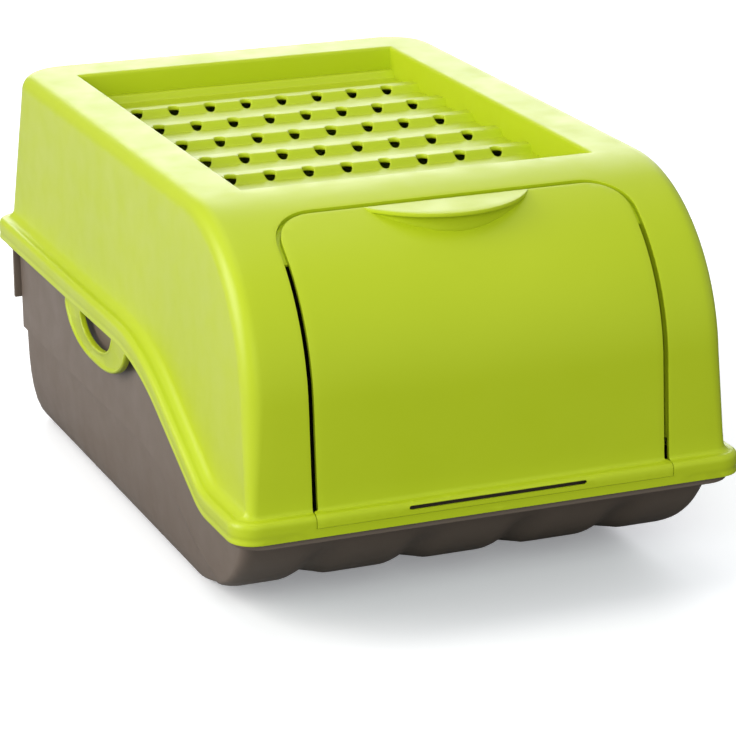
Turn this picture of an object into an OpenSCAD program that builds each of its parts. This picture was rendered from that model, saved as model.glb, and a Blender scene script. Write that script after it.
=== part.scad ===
// Potato storage bin: a shallow-fronted tub, a lift-off hood with a vented recess on top,
// a flap that folds down from the hood's front, and a hinged clip on each side.
// X runs to the right, Y to the back and Z up. The origin lies under the middle of the bin,
// on the surface that it stands on. Every size is in millimetres.

/* [Overall] */
// Width over the hood's skirt
rim_w = 270; // [266:1:276]
// Length over the hood's skirt
rim_l = 406; // [402:1:412]
// Height to the flat top of the hood
height = 208; // [206:1:212]
// Wall thickness of every moulding
wall = 2.4; // [2:0.1:2.6]

/* [Parting line] */
// Height of the skirt's lower edge along the back
rim_back_z = 110.5; // [109:0.5:112]
// Height of the skirt's lower edge along the front
rim_front_z = 62; // [61:0.5:63]
// Slope of the step between them, in degrees
rim_slope = 27; // [24:1:30]
// Bend radius at the foot of the step
rim_low_r = 40; // [30:5:60]
// Bend radius at the head of the step
rim_high_r = 150; // [120:5:160]

/* [Hood] */
// Width of the hood's walls at their foot
hood_w = 254; // [252:1:255]
// Lean of each side wall over its height
hood_lean = 2.5; // [1:0.5:3]
// Radius of the big curve from the top down to the front
brow_r = 90; // [88:1:92]
// Radius of the long edges along the top
shoulder_r = 9; // [7:1:11]
// Radius of the rear corners at the top, seen from above
back_corner_r = 28; // [24:1:32]

/* [Vented recess] */
// Width of the recess
recess_w = 188; // [184:1:190]
// Length of the recess
recess_l = 264.5; // [262:0.5:265]
// Depth from the top to the crest of a ridge
crest_depth = 13; // [12:0.5:14]
// Height of a ridge over the valleys
ridge_h = 4; // [3:0.5:5]
// Number of ridge pitches along the recess
ridge_pitches = 7; // [6:1:7]
// Vent holes in a row
vent_columns = 8; // [6:1:8]
// Diameter of a vent hole
vent_d = 7; // [5:0.5:8]

/* [Flap] */
// Width of the flap
flap_w = 183.6; // [180:0.2:184]
// Gap between the flap's sides and the hood
flap_gap = 2.8; // [2.6:0.1:3]
// Radius of the flap's top corners
flap_corner_r = 20; // [16:1:24]
// Radius of the rolled nose along the flap's foot
nose_r = 3.2; // [3:0.1:3.4]
// Diameter of the flap's hinge pins
flap_pin_d = 3.4; // [3:0.2:3.6]
// Width of the pull lip
lip_w = 88; // [70:2:100]
// How far the pull lip stands out
lip_reach = 25; // [18:1:26]
// Length of the slot under the nose
slot_l = 94; // [80:2:110]

/* [Side clips] */
// Length of a clip's loop
clip_l = 108; // [100:1:109]
// How far the loop hangs below its hinge line
clip_drop = 26; // [22:1:27]
// Length of the finger hole in the loop
grip_l = 54; // [46:1:58]
// Height of the finger hole in the loop
grip_h = 16; // [12:1:17]
// Diameter of a clip's hinge pin
clip_pin_d = 3.2; // [3:0.1:3.4]

/* [Tub] */
// Width of the tub's floor
floor_w = 210; // [204:1:214]
// Height of the band that runs round the tub under the skirt
band_h = 54; // [50:1:55]
// How far the band stands out from the wall below it
band_step = 2.5; // [2:0.5:3.5]
// Distance between the channels under the floor
channel_pitch = 54; // [50:1:56]
// Width of a channel under the floor
channel_w = 28; // [22:1:32]
// Depth of a channel under the floor
channel_h = 3.6; // [3:0.2:4]

/* [Hidden] */
lime = [0.68, 0.78, 0.17];
taupe = [0.45, 0.41, 0.38];
$fn = 64;
hull_fn = 32;
far = 300;            // well outside the bin
running_gap = 0.06;   // radial play of a hinge pin in its bearing
seat_gap = 0.4;       // between the hood's feet and the tub's flange

// The skirt and the shelf above it
half_w = rim_w / 2;
half_l = rim_l / 2;
skirt_corner_r = 18;
shelf_dz = 11;        // top of the shelf over the skirt's lower edge
shelf_z = rim_front_z + shelf_dz;

// The hood's walls
brow_z = height - brow_r;
brow_y = -half_l + 99;
front_foot_y = -half_l + 5.5;
back_foot_y = half_l - 6;
back_lean = 3;
brow_steps = 30;
foot_corner_r = 4;    // the hood's corners at its foot, seen from above
hood_half_top = hood_w / 2 - hood_lean;

// The parting line: flat, lower bend, straight slope, upper bend, flat
step_y0 = -half_l + 43;
step_y1 = step_y0 + rim_low_r * sin(rim_slope);
step_z1 = rim_front_z + rim_low_r * (1 - cos(rim_slope));
step_z2 = rim_back_z - rim_high_r * (1 - cos(rim_slope));
step_y2 = step_y1 + (step_z2 - step_z1) / tan(rim_slope);
step_y3 = step_y2 + rim_high_r * sin(rim_slope);

// The recess in the top
recess_back_y = half_l - 43;
recess_front_y = recess_back_y - recess_l;
crest_z = height - crest_depth;
valley_z = crest_z - ridge_h;
ridge_pitch = recess_l / ridge_pitches;
flat_half = 3;        // half of the crest's flat
front_flank = 4.5;    // run of a ridge's steep front
back_flank = 9;       // run of a ridge's gentle back
vent_pitch = 21.2;
vent_from_crest = 3.5; // the holes lie in the steep front of each ridge

// The flap and its hinge
hinge_y = -half_l + nose_r;
hinge_z = shelf_z - nose_r;
flap_top_y = -half_l + 66.2;
door_top_y = flap_top_y + 2.6;
door_half = flap_w / 2 + flap_gap;
door_corner_r = flap_corner_r + 4;
door_tilt = 62;       // direction in which the rounded top corners are cut, from the vertical
door_split_z = 150;   // above this the door's outline is cut along door_tilt
nose_gap = 0.4;
slot_top_z = hinge_z + 0.7;
lip_thickness = 2;
lip_undercut = 7;
jamb_w = 6.5;
jamb_gap = 0.6;
jamb_root = 3;        // how far the step runs behind the hood's wall
cheek_gap = 0.3;
cheek_t = 3;
pin_reach = 3.4;      // from the end of the nose into the cheek

// The clips
clip_y = 25;          // middle of a clip, along the side
grip_y = 24;
clip_t = 2.6;
clip_bead = 1;
clip_hinge_x = half_w - 5.4;
clip_hinge_z = rim_back_z + 2.5;
clip_face_x = clip_hinge_x + 1.2;
clip_end_gap = 0.6;
lug_t = 4;
lug_in_x = half_w - 8.4;
notch_x = half_w - 7.4;
snap_r = 0.9;
snap_l = 8;
snap_z = rim_back_z - 6.5;

// The tub: its floor climbs gently to the front and then curls up to the rim
tub_half = half_w - 10;
tub_back_y = half_l - 11;
floor_front_y = -half_l + 116;
ramp_tilt = 18;
curl_r = 80;
curl_y = -half_l + 87.7;
curl_z = 93.1;
curl_end = 62;
curl_angles = [for (i = [0 : 9]) ramp_tilt + (curl_end - ramp_tilt) * i / 9];
channel_xs = [-1.5, -0.5, 0.5, 1.5];
tub_lip_dz = 7;       // the tub's rim stands this far above the skirt's lower edge
tub_lip_half = hood_w / 2 - wall - 0.9;
tub_lip_front_y = -half_l + 13;
tub_lip_back_y = half_l - 13.5;
flange_top_dz = -1;
flange_t = 3;
flange_inset = 1.5;

function rim_z(y) =
    y <= step_y0 ? rim_front_z :
    y <= step_y1 ? rim_front_z + rim_low_r - sqrt(pow(rim_low_r, 2) - pow(y - step_y0, 2)) :
    y <= step_y2 ? step_z1 + (y - step_y1) * tan(rim_slope) :
    y <= step_y3 ? rim_back_z - rim_high_r + sqrt(pow(rim_high_r, 2) - pow(step_y3 - y, 2)) :
    rim_back_z;

bend_steps = 5;
rim_ys = concat(
    [-far],
    [for (i = [0 : bend_steps]) step_y0 + (step_y1 - step_y0) * i / bend_steps],
    [for (i = [0 : bend_steps]) step_y2 + (step_y3 - step_y2) * i / bend_steps],
    [far]
);

function rim_path(dz) = [for (y = rim_ys) [y, rim_z(y) + dz]];
function reversed(v) = [for (i = [len(v) - 1 : -1 : 0]) v[i]];
function ease(t) = t <= 0 ? 0 : t >= 1 ? 1 : t * t * (3 - 2 * t);

// Draws a (y, z) outline and gives it a width across the bin
module across(width) {
    rotate([90, 0, 90]) linear_extrude(width, center = true) children();
}

// The space between two copies of the parting line
module rim_band(low, high) {
    across(2 * far) polygon(concat(rim_path(low), reversed(rim_path(high))));
}

// A rectangle about the Y axis with its own front and rear corner radii
module plan(half, front, back, front_r, back_r) {
    translate([-half, front + front_r]) square([2 * half, back - front - front_r - back_r]);
    translate([-half + front_r, front]) square([2 * (half - front_r), 2 * front_r]);
    translate([-half + back_r, back - 2 * back_r]) square([2 * (half - back_r), 2 * back_r]);
    for (side = [-1, 1]) {
        translate([side * (half - front_r), front + front_r]) circle(front_r);
        translate([side * (half - back_r), back - back_r]) circle(back_r);
    }
}

// A rounded disc: a circle of the minor radius carried round at the major radius
module ring(major, minor, turn_fn = hull_fn) {
    rotate_extrude($fn = turn_fn) intersection() {
        translate([major, 0]) circle(minor, $fn = hull_fn);
        translate([0, -minor]) square([major + minor, 2 * minor]);
    }
}

// The hood as a solid block, drawn in by inset
module hood_block(inset) {
    hull() {
        for (side = [-1, 1]) {
            translate([side * (hood_half_top - shoulder_r), brow_y, brow_z])
                rotate([0, 90, 0]) ring(brow_r - shoulder_r, shoulder_r - inset, 48);
            translate([side * (hood_half_top - back_corner_r),
                       back_foot_y - back_lean - back_corner_r, height - shoulder_r])
                ring(back_corner_r - shoulder_r, shoulder_r - inset);
        }
        translate([0, 0, rim_front_z]) linear_extrude(1)
            plan(hood_w / 2 - inset, front_foot_y - 0.5 + inset, back_foot_y - inset,
                 foot_corner_r - inset, foot_corner_r - inset, $fn = hull_fn);
    }
}

// The skirt round the hood's foot, as a solid block drawn in by inset
module skirt_block(inset) {
    translate([0, 0, rim_front_z - 20]) linear_extrude(rim_back_z - rim_front_z + 60)
        plan(half_w - inset, -half_l + inset, half_l - inset,
             skirt_corner_r - inset, skirt_corner_r - inset);
}

// Floor height of the recess at a distance from the nearest crest, front being negative
function ridge_z(u) =
    valley_z + ridge_h * (u < 0 ? ease((u + flat_half + front_flank) / front_flank)
                                : ease((flat_half + back_flank - u) / back_flank));

ridge_us = concat(
    [for (i = [0 : 4]) -flat_half - front_flank + front_flank * i / 4],
    [for (i = [0 : 4]) flat_half + back_flank * i / 4]
);

recess_floor = concat(
    [[recess_front_y, crest_z]],
    [for (k = [0 : ridge_pitches]) for (u = ridge_us)
        let (y = recess_front_y + k * ridge_pitch + u)
        if (y > recess_front_y && y < recess_back_y) [y, ridge_z(u)]],
    [[recess_back_y, crest_z]]
);

// The walls and the ridged floor of the recess
module tray() {
    drop = [for (p = reversed(recess_floor)) [p[0], p[1] - wall]];
    low = valley_z - wall;
    across(recess_w + 2 * wall) polygon(concat(recess_floor, drop));
    difference() {
        translate([-recess_w / 2 - wall, recess_front_y - wall, low])
            cube([recess_w + 2 * wall, recess_l + 2 * wall, height - low]);
        translate([-recess_w / 2, recess_front_y, low - 1])
            cube([recess_w, recess_l, height - low + 2]);
    }
}

module vents() {
    for (row = [1 : ridge_pitches - 1], column = [0 : vent_columns - 1])
        translate([(column - (vent_columns - 1) / 2) * vent_pitch,
                   recess_front_y + row * ridge_pitch - vent_from_crest, valley_z - 2 * wall])
            cylinder(d = vent_d, h = 3 * wall + ridge_h);
}

// The outline of the hood's front seen from the side, drawn in by inset: a straight line
// up from the foot, and the brow's arc, which it touches
module front_outline(inset) {
    dy = front_foot_y - brow_y;
    dz = shelf_z - brow_z;
    touch = atan2(dz, dy) + 360 - acos(brow_r / norm([dy, dz]));
    r = brow_r - inset;
    polygon(concat(
        [[brow_y, shelf_z - inset],
         [front_foot_y - inset * cos(touch), shelf_z - inset]],
        [for (i = [0 : brow_steps]) let (a = touch + (90 - touch) * i / brow_steps)
            [brow_y + r * cos(a), brow_z + r * sin(a)]]
    ));
}

// A doorway's outline with rounded top corners, cut through the hood's front
module doorway(half, top_y, corner_r) {
    top_z = brow_z + sqrt(pow(brow_r, 2) - pow(top_y - brow_y, 2));
    translate([0, top_y, top_z]) rotate([90 - door_tilt, 0, 0]) translate([0, 0, -60])
        linear_extrude(90) {
            translate([-half, -90]) square([2 * half, 90 - corner_r]);
            translate([-half + corner_r, -2 * corner_r]) square([2 * (half - corner_r), 2 * corner_r]);
            for (side = [-1, 1])
                translate([side * (half - corner_r), -corner_r]) circle(corner_r);
        }
    translate([-half, -half_l - 10, hinge_z]) cube([2 * half, 35, door_split_z - hinge_z]);
}

// The space between two copies of the doorway and two depths under the hood's surface
module frame_band(out, in_half, in_top, in_r, from, to) {
    intersection() {
        across(2 * (door_half + out)) difference() {
            front_outline(from);
            front_outline(to);
        }
        difference() {
            doorway(door_half + out, door_top_y + out, door_corner_r + out);
            doorway(in_half, in_top, in_r);
        }
        translate([-far, -far, door_split_z]) cube([2 * far, 2 * far, height]);
    }
}

// A step inside the top of the doorway, which the closed flap lies over
module jamb() {
    back = 2 * wall + jamb_gap;
    frame_band(jamb_root, door_half - jamb_w, door_top_y - jamb_w, door_corner_r - jamb_w,
               wall + jamb_gap, back);
    frame_band(jamb_root, door_half + 0.3, door_top_y + 0.3, door_corner_r + 0.3,
               wall / 2, back);
}

// A web under the shelf at each side of the doorway, with the bearing for a hinge pin
module cheek() {
    translate([door_half + cheek_gap, -half_l + 1, rim_front_z + flange_top_dz + seat_gap])
        cube([cheek_t, 9.5, shelf_dz - flange_top_dz - seat_gap - 1]);
}

// A block under the shelf at each end of a clip, with the bearing for a hinge pin
module lug(y) {
    z = rim_back_z + flange_top_dz + seat_gap;
    translate([lug_in_x, y, z]) cube([half_w - 1 - lug_in_x, lug_t, rim_back_z + shelf_dz - 2 - z]);
}

lug_ys = [clip_y - clip_l / 2 - clip_end_gap - lug_t, clip_y + clip_l / 2 + clip_end_gap];

module lid() {
    color(lime) difference() {
        union() {
            difference() {
                hood_block(0);
                hood_block(wall);
                rim_band(-far, shelf_dz - wall);
                translate([-recess_w / 2, recess_front_y, valley_z])
                    cube([recess_w, recess_l, 2 * crest_depth]);
            }
            difference() {
                intersection() {
                    skirt_block(0);
                    rim_band(0, shelf_dz);
                }
                intersection() {
                    skirt_block(wall);
                    rim_band(-1, shelf_dz - wall);
                }
                hood_block(wall);
            }
            tray();
            for (side = [0, 1]) mirror([side, 0, 0]) {
                cheek();
                for (y = lug_ys) lug(y);
            }
        }
        vents();
        difference() {
            doorway(door_half, door_top_y, door_corner_r);
            jamb();
        }
        translate([0, hinge_y, hinge_z]) rotate([0, 90, 0])
            cylinder(r = nose_r + nose_gap, h = 2 * door_half, center = true);
        translate([0, hinge_y, hinge_z]) rotate([0, 90, 0])
            cylinder(d = flap_pin_d + 2 * running_gap,
                     h = 2 * (door_half + pin_reach + cheek_gap), center = true);
        for (side = [-1, 1])
            translate([side * clip_hinge_x, clip_y, clip_hinge_z]) rotate([90, 0, 0])
                cylinder(d = clip_pin_d + 2 * running_gap,
                         h = clip_l + 2 * (clip_end_gap + lug_t - 1) + cheek_gap, center = true);
    }
    color(lime) jamb();
}

// The flap's foot rolled round its hinge line
module nose() {
    translate([hinge_y, hinge_z]) difference() {
        circle(nose_r);
        circle(nose_r / 2);
        translate([0, -2 * nose_r]) square(4 * nose_r);
        translate([-nose_r / 3, -2 * nose_r]) square(2 * nose_r);
    }
}

// A crescent seen from above, from the flap's top edge out to reach
module crescent(reach) {
    chord = lip_w / 2 * reach / lip_reach;
    r = (chord * chord + reach * reach) / (2 * reach);
    intersection() {
        translate([0, flap_top_y - reach + r]) circle(r, $fn = 128);
        translate([-lip_w, flap_top_y - 2 * lip_reach]) square([2 * lip_w, 2 * lip_reach]);
    }
}

module lip() {
    top_z = brow_z + sqrt(pow(brow_r, 2) - pow(flap_top_y - brow_y, 2));
    difference() {
        union() {
            translate([0, 0, top_z - lip_thickness]) linear_extrude(lip_thickness) crescent(lip_reach);
            translate([0, 0, top_z - 3 * lip_undercut]) linear_extrude(3 * lip_undercut - 1)
                crescent(lip_reach - lip_undercut);
        }
        across(2 * lip_w) front_outline(wall / 2);
    }
}

module flap() {
    color(lime) {
        difference() {
            intersection() {
                across(flap_w) difference() {
                    union() {
                        front_outline(0);
                        translate([hinge_y, shelf_z - wall])
                            square([front_foot_y - hinge_y + wall, wall]);
                    }
                    front_outline(wall);
                    translate([front_foot_y + wall, 0]) square([far, shelf_z]);
                }
                doorway(flap_w / 2, flap_top_y, flap_corner_r);
            }
            translate([-far, -far, 0]) cube([2 * far, far - half_l + nose_r, shelf_z - wall]);
        }
        difference() {
            across(2 * (door_half - nose_gap)) nose();
            translate([-slot_l / 2, -half_l - 1, 0]) cube([slot_l, nose_r + 1, slot_top_z]);
        }
        for (side = [-1, 1])
            translate([side * (door_half - nose_gap), hinge_y, hinge_z])
                rotate([0, 90 * side, 0]) {
                    translate([0, 0, -2 * wall]) cylinder(r = nose_r, h = 2 * wall);
                    cylinder(d = flap_pin_d, h = pin_reach);
                }
        lip();
    }
}

// Half of a rounded D hanging from z = 0, with a fuller curve than an ellipse
function d_outline(length, drop) = [for (a = [0 : 7.5 : 180])
    [length / 2 * sign(cos(a)) * pow(abs(cos(a)), 0.87), -drop * pow(sin(a), 0.87)]];

// The right-hand clip: a D-shaped loop hung from its hinge pin
module clip() {
    pin_l = clip_l + 2 * (clip_end_gap + lug_t - 1);
    color(lime) {
        difference() {
            translate([clip_face_x - clip_t / 2, clip_y, clip_hinge_z]) across(clip_t)
                polygon(d_outline(clip_l, clip_drop + 3));
            translate([clip_face_x, grip_y, rim_back_z - 1]) across(4 * clip_t)
                polygon(d_outline(grip_l, grip_h));
        }
        translate([clip_face_x + clip_bead / 2 - 0.1, clip_y, clip_hinge_z]) intersection() {
            across(clip_bead + 0.2) difference() {
                polygon(d_outline(clip_l, clip_drop + 3));
                polygon(d_outline(clip_l - 6, clip_drop));
            }
            translate([-far, -far, -far - 7]) cube([2 * far, 2 * far, far]);
        }
        translate([clip_hinge_x, clip_y, clip_hinge_z]) rotate([90, 0, 0])
            cylinder(d = clip_pin_d, h = pin_l, center = true);
        for (side = [-1, 1])
            translate([clip_face_x - clip_t + 0.5, grip_y + side * (grip_l / 2 + snap_l), snap_z])
                rotate([90, 0, 0]) cylinder(r = snap_r, h = snap_l, center = true);
    }
}

module clip_right() {
    clip();
}

module clip_left() {
    mirror([1, 0, 0]) clip();
}

function on_curl(r) = [for (a = curl_angles) [curl_y - r * sin(a), curl_z - r * cos(a)]];

// The tub seen from the side, drawn in by inset
module tub_side(inset) {
    across(2 * far) polygon(concat(
        [[tub_lip_front_y + inset, rim_back_z + 20]],
        reversed(on_curl(curl_r - inset)),
        [[floor_front_y + inset * tan(ramp_tilt / 2), inset],
         [tub_back_y - 6 - inset, inset],
         [tub_back_y - 3 - inset, inset + 3],
         [tub_back_y - 1.5 - inset, inset + 8],
         [tub_back_y - inset, rim_back_z + 20]]
    ));
}

// The right half of the tub's front view: its outline, or what is cut away below the band
function tub_edge(inset) = [
    [floor_w / 2 - inset, inset],
    [floor_w / 2 + 7 - inset, inset + 3],
    [floor_w / 2 + 11.5 - inset, inset + 8],
    [tub_half - 4 - inset, inset + 17],
    [tub_half - 0.5 - inset, inset + 55],
    [tub_half - inset, rim_back_z + 20]
];
function under_edge(inset) = [
    [floor_w / 2 + 13 - inset, inset + 8],
    [tub_half - band_step - 2.2 - inset, inset + 17],
    [tub_half - band_step - 0.2 - inset, inset + band_h + 3],
    [tub_half - band_step - inset, rim_back_z + 20],
    [far, rim_back_z + 20],
    [far, inset + 8]
];

// Draws an (x, z) outline from the front of the bin to its back
module lengthwise() {
    rotate([90, 0, 0]) linear_extrude(2 * far, center = true) children();
}

// The tub as a solid block, drawn in by inset and with its sides stepped in below the band
module tub_block(inset, top_dz) {
    edge = tub_edge(inset);
    difference() {
        intersection() {
            tub_side(inset);
            lengthwise() polygon(concat(edge, [for (p = reversed(edge)) [-p[0], p[1]]]));
            translate([0, 0, -1]) linear_extrude(rim_back_z + 10)
                plan(tub_half + 0.5 - inset, tub_lip_front_y - 1 + inset, tub_back_y + 1 - inset,
                     9 - inset, 8 - inset);
            rim_band(-far, top_dz);
        }
        for (side = [0, 1]) mirror([side, 0, 0]) intersection() {
            lengthwise() polygon(under_edge(inset));
            rim_band(-far, inset - band_h);
        }
    }
}

// The upright rim that the hood fits over, drawn in by inset
module tub_lip(inset) {
    intersection() {
        translate([0, 0, rim_front_z - 10]) linear_extrude(rim_back_z)
            plan(tub_lip_half - inset, tub_lip_front_y + inset, tub_lip_back_y - inset,
                 8 - inset, 6 - inset);
        rim_band(flange_top_dz - 2.5 - 4 * inset, tub_lip_dz + inset);
    }
}

// The hollows under the floor, moved inward by rise: each runs forward along the floor,
// up the ramp and round the curl
module channels(rise) {
    deep = channel_h + rise;
    for (c = channel_xs)
        translate([c * channel_pitch, 0, 0]) across(channel_w + 2 * rise) polygon(concat(
            [[far, deep], [floor_front_y + deep * tan(ramp_tilt / 2), deep]],
            on_curl(curl_r - deep),
            reversed(on_curl(curl_r + wall)),
            [[floor_front_y, -wall], [far, -wall]]
        ));
}

// A plate under the flange at each rear corner
module gusset() {
    translate([tub_half - 4, tub_back_y - 4, rim_back_z - 36]) cube([7, wall, 33]);
}

module tub() {
    color(taupe) difference() {
        union() {
            tub_block(0, flange_top_dz - 1);
            tub_lip(0);
            intersection() {
                skirt_block(flange_inset);
                rim_band(flange_top_dz - flange_t, flange_top_dz);
            }
            for (side = [0, 1]) mirror([side, 0, 0]) gusset();
        }
        channels(0);
        difference() {
            tub_block(wall, flange_top_dz - 2.5);
            channels(wall);
        }
        tub_lip(wall);
        for (side = [-1, 1])
            translate([side * (notch_x + 10) - 10, lug_ys[0] - 2, rim_back_z - 15])
                cube([20, lug_ys[1] - lug_ys[0] + lug_t + 4, 20]);
    }
}

tub();
lid();
flap();
clip_left();
clip_right();
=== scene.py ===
# %% [markdown]
# # A potato bin with a lift-off hood
# The bin is five plastic mouldings: a taupe tub, and a lime hood with a flap and two clips
# hinged to it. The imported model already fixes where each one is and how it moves. Here each
# moulding gets the soft edges, even walls and finish of the real one, in the same frame:
# X to the right, Y to the back, Z up. Sizes are written in millimetres and turned into
# metres when a mesh is made.

import math

import bmesh
import bpy
from mathutils import Matrix, Vector
from mathutils.geometry import delaunay_2d_cdt


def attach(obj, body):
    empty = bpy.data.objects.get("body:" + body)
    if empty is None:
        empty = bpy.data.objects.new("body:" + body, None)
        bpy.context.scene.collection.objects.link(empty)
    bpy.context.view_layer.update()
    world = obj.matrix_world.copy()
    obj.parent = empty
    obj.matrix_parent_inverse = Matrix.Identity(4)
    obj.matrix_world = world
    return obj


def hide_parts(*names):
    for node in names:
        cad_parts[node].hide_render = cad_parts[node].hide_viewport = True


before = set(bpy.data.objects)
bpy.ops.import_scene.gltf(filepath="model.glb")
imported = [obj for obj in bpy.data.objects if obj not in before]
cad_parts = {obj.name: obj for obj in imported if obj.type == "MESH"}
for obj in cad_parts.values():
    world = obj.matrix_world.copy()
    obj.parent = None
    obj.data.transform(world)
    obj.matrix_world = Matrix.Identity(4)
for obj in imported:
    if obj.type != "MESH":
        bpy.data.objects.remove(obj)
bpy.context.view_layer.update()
MM = 0.001
WELD = 0.02 * MM

# %% [markdown]
# ## The line where hood and tub meet
# Seen from the side, the hood's lower edge is low along the front, climbs a straight slope
# with a tight bend at its foot and a wide one at its head, and runs level to the back. Nearly
# everything round the bin is measured from this line, so it is one function of y.

# %% The parting line
RIM_BACK = 110.5
RIM_FRONT = 62.0
SLOPE = math.radians(27)
LOW_BEND = 40.0
HIGH_BEND = 150.0
low_start = -160.0
low_end = low_start + LOW_BEND * math.sin(SLOPE)
low_z = RIM_FRONT + LOW_BEND * (1 - math.cos(SLOPE))
high_z = RIM_BACK - HIGH_BEND * (1 - math.cos(SLOPE))
high_start = low_end + (high_z - low_z) / math.tan(SLOPE)
high_end = high_start + HIGH_BEND * math.sin(SLOPE)


def rim_z(y):
    """Height of the hood's lower edge at a distance from the middle of the bin."""
    if y <= low_start:
        return RIM_FRONT
    if y <= low_end:
        return RIM_FRONT + LOW_BEND - math.sqrt(LOW_BEND**2 - (y - low_start) ** 2)
    if y <= high_start:
        return low_z + (y - low_end) * math.tan(SLOPE)
    if y <= high_end:
        return RIM_BACK - HIGH_BEND + math.sqrt(HIGH_BEND**2 - (high_end - y) ** 2)
    return RIM_BACK


print("the rim climbs from", RIM_FRONT, "to", RIM_BACK, "mm, from y", low_start, "to", round(high_end, 1))

# %% [markdown]
# ## Helpers for thin mouldings
# A moulding is a thin wall of one thickness. It is easiest to draw only its outer skin, give
# it a wall with Solidify and round the cut edges with Bevel. The bin is the same on both
# sides, so the right half is drawn and mirrored. A skin with a hole in it is filled by
# Delaunay triangles between its outline and a grid of spots. A moulding can say how much of
# the rounding each edge gets (soften), where its wall is thinner (thin) and which points move
# once it has its wall (tweak).

# %% Skin helpers
def put(name, data):
    """Places data in the scene as a new object."""
    piece = bpy.data.objects.new(name, data)
    bpy.context.scene.collection.objects.link(piece)
    return piece


def smooth(mesh, sharp=35):
    """Shades a mesh smooth, except where it turns by more than so many degrees."""
    mesh.polygons.foreach_set("use_smooth", [True] * len(mesh.polygons))
    mesh.set_sharp_from_angle(angle=math.radians(sharp))


def spaced(start, end, count):
    """Values from start to end in count equal steps, both ends included."""
    return [start + (end - start) * i / count for i in range(count + 1)]


def strip(points, faces, rows):
    """Adds quads between rows of points that all have the same length."""
    first = len(points)
    width = len(rows[0])
    for row in rows:
        points.extend(row)
    for r in range(len(rows) - 1):
        for c in range(width - 1):
            a = first + r * width + c
            faces.append((a, a + 1, a + width + 1, a + width))


def inside(p, outline):
    """True where a flat point lies inside a closed outline."""
    hit = False
    for i in range(len(outline)):
        (ax, ay), (bx, by) = outline[i - 1], outline[i]
        if (ay > p[1]) != (by > p[1]) and p[0] < (bx - ax) * (p[1] - ay) / (by - ay) + ax:
            hit = not hit
    return hit


def clearance(p, outline):
    """Distance from a flat point to the nearest edge of a closed outline."""
    best = 1e9
    for i in range(len(outline)):
        a = outline[i - 1]
        dx, dy = outline[i][0] - a[0], outline[i][1] - a[1]
        size = dx * dx + dy * dy
        t = 0 if size == 0 else max(0, min(1, ((p[0] - a[0]) * dx + (p[1] - a[1]) * dy) / size))
        best = min(best, math.hypot(a[0] + t * dx - p[0], a[1] + t * dy - p[1]))
    return best


def fill(points, faces, outline, spots, lift, apart=2.0, creases=()):
    """Fills a flat outline with triangles, keeps the creases as edges and lifts it into space."""
    kept = [p for p in spots if inside(p, outline) and clearance(p, outline) > apart]
    flat = [Vector(p) for p in outline + kept]
    edges = [(i, (i + 1) % len(outline)) for i in range(len(outline))]
    for crease in creases:
        edges += [(len(flat) + i, len(flat) + i + 1) for i in range(len(crease) - 1)]
        flat += [Vector(p) for p in crease]
    made, _, tris, *_ = delaunay_2d_cdt(flat, edges, [], 0, 1e-6)
    first = len(points)
    points.extend(lift(p[0], p[1]) for p in made)
    for t in tris:
        middle = [sum(made[i][k] for i in t) / 3 for k in (0, 1)]
        if inside(middle, outline):
            faces.append(tuple(first + i for i in t))


def moulding(name, points, faces, wall=0.0, edge=0.0, mirror=True, steps=3, centre=(0, 0, 100),
             sharp=35, limit=50, tweak=None, soften=None, thin=None):
    """Makes a finished piece from a skin: mirrored, welded, given its wall and soft edges."""
    bm = bmesh.new()
    for side in (1, -1) if mirror else (1,):
        verts = [bm.verts.new((p[0] * side * MM, p[1] * MM, p[2] * MM)) for p in points]
        for f in faces:
            loop = f if side == 1 else tuple(reversed(f))
            if len(set(loop)) > 2:
                bm.faces.new([verts[i] for i in loop])
    bmesh.ops.remove_doubles(bm, verts=bm.verts, dist=WELD)
    bmesh.ops.dissolve_degenerate(bm, edges=bm.edges, dist=WELD)
    bmesh.ops.delete(bm, geom=[v for v in bm.verts if not v.link_faces], context="VERTS")
    bmesh.ops.recalc_face_normals(bm, faces=bm.faces)
    middle = Vector(centre) * MM
    flow = sum((f.calc_center_median() - middle).dot(f.normal) * f.calc_area() for f in bm.faces)
    if flow < 0:
        bmesh.ops.reverse_faces(bm, faces=bm.faces)
    mesh = bpy.data.meshes.new(name)
    bm.to_mesh(mesh)
    bm.free()
    piece = put(name, mesh)
    if wall:
        solid = piece.modifiers.new("Wall", "SOLIDIFY")
        solid.thickness = wall * MM
        solid.offset = -1
        solid.use_even_offset = True
        if thin:
            share = piece.vertex_groups.new(name="wall share")
            for v in mesh.vertices:
                share.add([v.index], thin(v.co / MM), "REPLACE")
            solid.vertex_group = share.name
    if tweak:
        settle(piece)
        for v in piece.data.vertices:
            v.co = Vector(tweak(v.co / MM)) * MM
    if edge:
        settle(piece)
        bm = bmesh.new()
        bm.from_mesh(piece.data)
        weight = bm.edges.layers.float.new("bevel_weight_edge")
        for e in bm.edges:
            if len(e.link_faces) == 2 and e.calc_face_angle() > math.radians(limit):
                e[weight] = max(soften(v.co / MM) for v in e.verts) if soften else 1.0
        bm.to_mesh(piece.data)
        bm.free()
        soft = piece.modifiers.new("Soft edge", "BEVEL")
        soft.width = edge * MM
        soft.segments = steps
        soft.limit_method = "WEIGHT"
        soft.use_clamp_overlap = True
    return settle(piece, sharp)


def settle(piece, sharp=35):
    """Turns a piece with live modifiers into a plain smooth mesh."""
    graph = bpy.context.evaluated_depsgraph_get()
    graph.update()
    done = bpy.data.meshes.new_from_object(piece.evaluated_get(graph))
    done.name = piece.name
    piece.modifiers.clear()
    piece.data = done
    smooth(done, sharp)
    print(piece.name, len(done.polygons), "faces")
    return piece


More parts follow.
